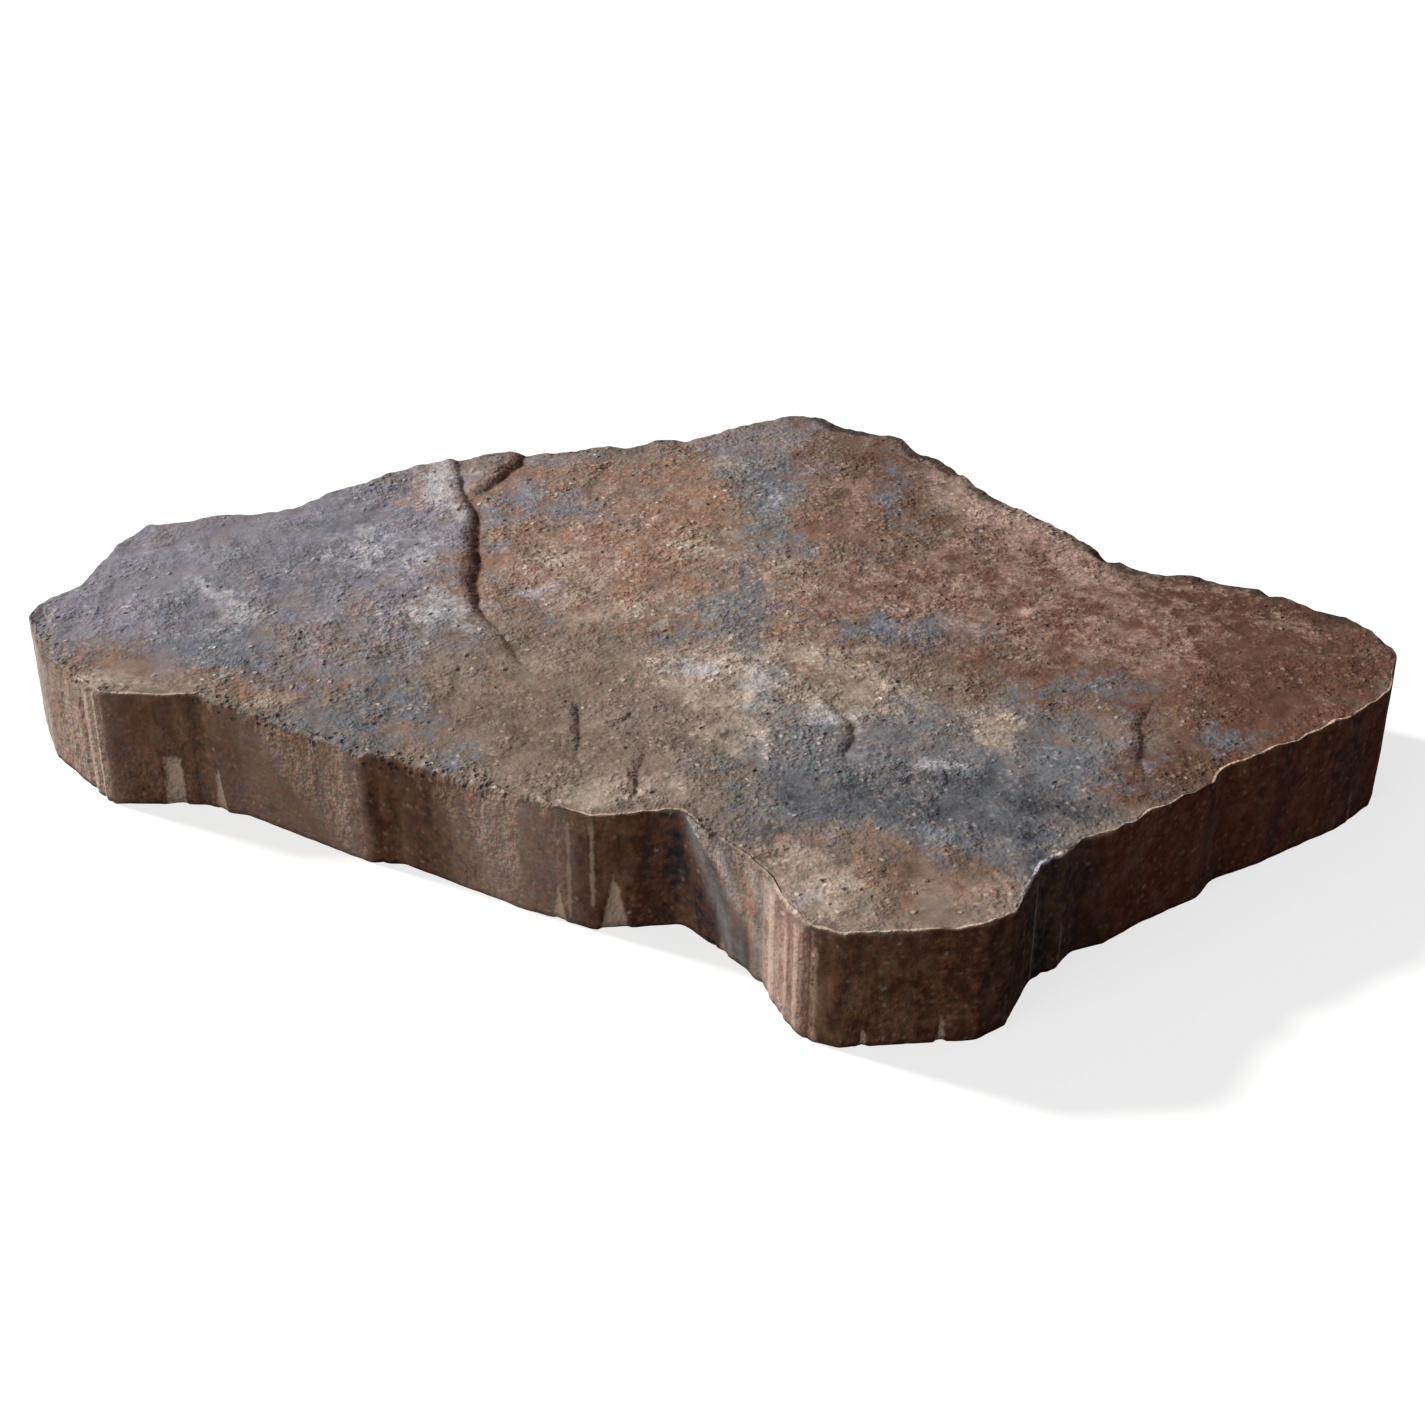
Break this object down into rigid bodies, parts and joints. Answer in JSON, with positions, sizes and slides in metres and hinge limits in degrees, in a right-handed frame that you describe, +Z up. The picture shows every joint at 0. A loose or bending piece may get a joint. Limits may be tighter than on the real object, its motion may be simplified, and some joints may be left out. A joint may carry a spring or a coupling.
{
  "type": "concrete paving slab",
  "caption": "Irregular flagstone-shaped paving slab with straight walls, a flat underside and a riven upper face, cast whole in colour-blended concrete.",
  "frame": {"origin": "on the ground under the middle of the slab's plan, in the plane of its flat underside", "axes": "+X from the left tip to the right tip along the slab's length, +Y from the front lobe to the far lobe, +Z up out of the riven face"},
  "size_m": [0.5323, 0.3898, 0.0525],
  "materials": {
    "concrete": "matte"
  },
  "bodies": {
    "root": {"paving_slab": "concrete"}
  },
  "joints": []
}
